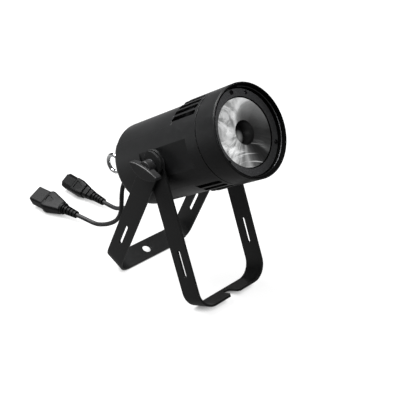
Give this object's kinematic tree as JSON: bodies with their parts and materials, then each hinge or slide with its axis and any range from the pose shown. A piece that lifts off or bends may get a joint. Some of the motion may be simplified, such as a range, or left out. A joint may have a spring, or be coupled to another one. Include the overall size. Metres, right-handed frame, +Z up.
{
  "type": "theatre spotlight",
  "caption": "Compact cylindrical LED theatre spotlight with a collimator lens, a double folding bracket, clamping knobs, a safety eye and two mains leads.",
  "frame": {"origin": "centre of the clamp hole on the outer face of the rear bracket's bottom plate", "axes": "+Z up as the lamp stands on its two brackets, -Y the way the lamp points, X along the tilt axis, +Y along the leads"},
  "size_m": [0.1688, 0.4663, 0.3023],
  "materials": {
    "board_standoffs": "nickel plated brass",
    "button_down": "satin moulded plastic",
    "button_enter": "satin moulded plastic",
    "button_menu": "satin moulded plastic",
    "button_switches": "satin moulded plastic",
    "button_up": "satin moulded plastic",
    "chassis_plate": "folded zinc plated sheet",
    "collimator_lens": "clear polished optical acrylic",
    "control_board": "green solder mask",
    "diffuser_spring_ring": "darkened spring steel",
    "display_module": "glossy dark plastic",
    "display_window": "smoked red acrylic",
    "driver_board": "green solder mask",
    "driver_capacitors": "dark blue sleeve",
    "driver_transformer": "ferrite core with yellow tape",
    "friction_washers": "black fibre filled rubber",
    "front_bracket": "satin black powder coat on steel",
    "gland_nuts": "black polyamide",
    "heatsink": "extruded plain aluminium",
    "heatsink_screws": "black zinc plated steel",
    "hood_gasket": "black rubber",
    "hood_ring": "fine satin black powder coat on aluminium",
    "housing": "fine satin black powder coat on aluminium",
    "ir_receiver": "glossy infrared filter plastic",
    "knob_stud_left": "zinc plated steel",
    "knob_stud_right": "zinc plated steel",
    "led_board": "white solder mask on aluminium",
    "led_board_screws": "black zinc plated steel",
    "led_emitter": "yellow phosphor under clear silicone",
    "led_wires": "red silicone insulation",
    "lens_gasket": "black rubber",
    "lens_holder": "bright vacuum metallised inner face",
    "lens_plate": "dark grey fine textured paint",
    "lens_plate_screws": "black zinc plated steel",
    "lock_knob_left": "black glass filled nylon",
    "lock_knob_right": "black glass filled nylon",
    "mains_wires": "PVC insulation",
    "outer_washer_left": "black zinc plated steel",
    "outer_washer_right": "black zinc plated steel",
    "panel_standoffs": "nickel plated brass",
    "pivot_inserts": "plain brass",
    "power_in_boot": "black rubber sheath",
    "power_in_cable": "black rubber sheath",
    "power_in_gland": "black polyamide",
    "power_in_pins": "nickel plated brass",
    "power_in_plug": "dark moulded PVC",
    "power_out_boot": "black rubber sheath",
    "power_out_cable": "black rubber sheath",
    "power_out_contacts": "nickel plated brass",
    "power_out_gland": "black polyamide",
    "power_out_socket": "dark moulded PVC",
    "rear_bracket": "satin black powder coat on steel",
    "rear_panel": "fine satin black powder coat",
    "rear_panel_screws": "black zinc plated steel",
    "safety_eyelet": "bright chrome plated steel",
    "safety_eyelet_nut": "zinc plated steel",
    "spacer_washers": "black nylon",
    "terminal_blocks": "green moulded plastic",
    "thermal_pad": "soft grey silicone"
  },
  "bodies": {
    "rear_bracket": {"rear_bracket": "rear_bracket"},
    "front_bracket": {"front_bracket": "front_bracket", "spacer_washers": "spacer_washers"},
    "head": {"board_standoffs": "board_standoffs", "button_switches": "button_switches", "chassis_plate": "chassis_plate", "collimator_lens": "collimator_lens", "control_board": "control_board", "diffuser_spring_ring": "diffuser_spring_ring", "display_module": "display_module", "display_window": "display_window", "driver_board": "driver_board", "driver_capacitors": "driver_capacitors", "driver_transformer": "driver_transformer", "friction_washers": "friction_washers", "gland_nuts": "gland_nuts", "heatsink": "heatsink", "heatsink_screws": "heatsink_screws", "hood_gasket": "hood_gasket", "hood_ring": "hood_ring", "housing": "housing", "ir_receiver": "ir_receiver", "led_board": "led_board", "led_board_screws": "led_board_screws", "led_emitter": "led_emitter", "led_wires": "led_wires", "lens_gasket": "lens_gasket", "lens_holder": "lens_holder", "lens_plate": "lens_plate", "lens_plate_screws": "lens_plate_screws", "mains_wires": "mains_wires", "panel_standoffs": "panel_standoffs", "pivot_inserts": "pivot_inserts", "power_in_boot": "power_in_boot", "power_in_gland": "power_in_gland", "power_out_boot": "power_out_boot", "power_out_gland": "power_out_gland", "rear_panel": "rear_panel", "rear_panel_screws": "rear_panel_screws", "safety_eyelet": "safety_eyelet", "safety_eyelet_nut": "safety_eyelet_nut", "terminal_blocks": "terminal_blocks", "thermal_pad": "thermal_pad"},
    "washer_left": {"outer_washer_left": "outer_washer_left"},
    "knob_left": {"lock_knob_left": "lock_knob_left", "knob_stud_left": "knob_stud_left"},
    "washer_right": {"outer_washer_right": "outer_washer_right"},
    "knob_right": {"lock_knob_right": "lock_knob_right", "knob_stud_right": "knob_stud_right"},
    "button_menu": {"button_menu": "button_menu"},
    "button_down": {"button_down": "button_down"},
    "button_up": {"button_up": "button_up"},
    "button_enter": {"button_enter": "button_enter"},
    "lead_in": {"power_in_cable": "power_in_cable", "power_in_plug": "power_in_plug", "power_in_pins": "power_in_pins"},
    "lead_out": {"power_out_cable": "power_out_cable", "power_out_socket": "power_out_socket", "power_out_contacts": "power_out_contacts"}
  },
  "joints": [
    {"name": "front_bracket_swing", "type": "hinge", "parent": "rear_bracket", "child": "front_bracket", "pos_m": [0, -0.08771, 0.18639], "axis": [1, 0, 0], "range_deg": [-100, 46.5]},
    {"name": "head_tilt", "type": "hinge", "parent": "rear_bracket", "child": "head", "pos_m": [0, -0.08771, 0.18639], "axis": [1, 0, 0], "range_deg": [-15, 85]},
    {"name": "washer_travel_left", "type": "slide", "parent": "head", "child": "washer_left", "axis": [-1, 0, 0], "range_m": [0, 0.0025]},
    {"name": "knob_turn_left", "type": "hinge", "parent": "washer_left", "child": "knob_left", "pos_m": [0, -0.08771, 0.18639], "axis": [-1, 0, 0], "range_deg": [0, 720]},
    {"name": "washer_travel_right", "type": "slide", "parent": "head", "child": "washer_right", "axis": [1, 0, 0], "range_m": [0, 0.0025]},
    {"name": "knob_turn_right", "type": "hinge", "parent": "washer_right", "child": "knob_right", "pos_m": [0, -0.08771, 0.18639], "axis": [1, 0, 0], "range_deg": [0, 720]},
    {"name": "press_menu", "type": "slide", "parent": "head", "child": "button_menu", "axis": [0, -0.8704, 0.4924], "range_m": [0, 0.0006], "stiffness_N_per_m": 300},
    {"name": "press_down", "type": "slide", "parent": "head", "child": "button_down", "axis": [0, -0.8704, 0.4924], "range_m": [0, 0.0006], "stiffness_N_per_m": 300},
    {"name": "press_up", "type": "slide", "parent": "head", "child": "button_up", "axis": [0, -0.8704, 0.4924], "range_m": [0, 0.0006], "stiffness_N_per_m": 300},
    {"name": "press_enter", "type": "slide", "parent": "head", "child": "button_enter", "axis": [0, -0.8704, 0.4924], "range_m": [0, 0.0006], "stiffness_N_per_m": 300},
    {"name": "lead_in_hang", "type": "hinge", "parent": "head", "child": "lead_in", "pos_m": [-0.014, 0.00949, 0.12221], "axis": [1, 0, 0], "range_deg": [-76.5, 13.5]},
    {"name": "lead_out_hang", "type": "hinge", "parent": "head", "child": "lead_out", "pos_m": [0.014, 0.00949, 0.12221], "axis": [1, 0, 0], "range_deg": [-76.5, 13.5]}
  ],
  "couplings": [
    {"joint": "knob_turn_left", "follows": "washer_travel_left", "rad_per_m": 5026.5},
    {"joint": "knob_turn_right", "follows": "washer_travel_right", "rad_per_m": 5026.5},
    {"joint": "lead_in_hang", "follows": "head_tilt", "ratio": -0.9},
    {"joint": "lead_out_hang", "follows": "head_tilt", "ratio": -0.9}
  ]
}
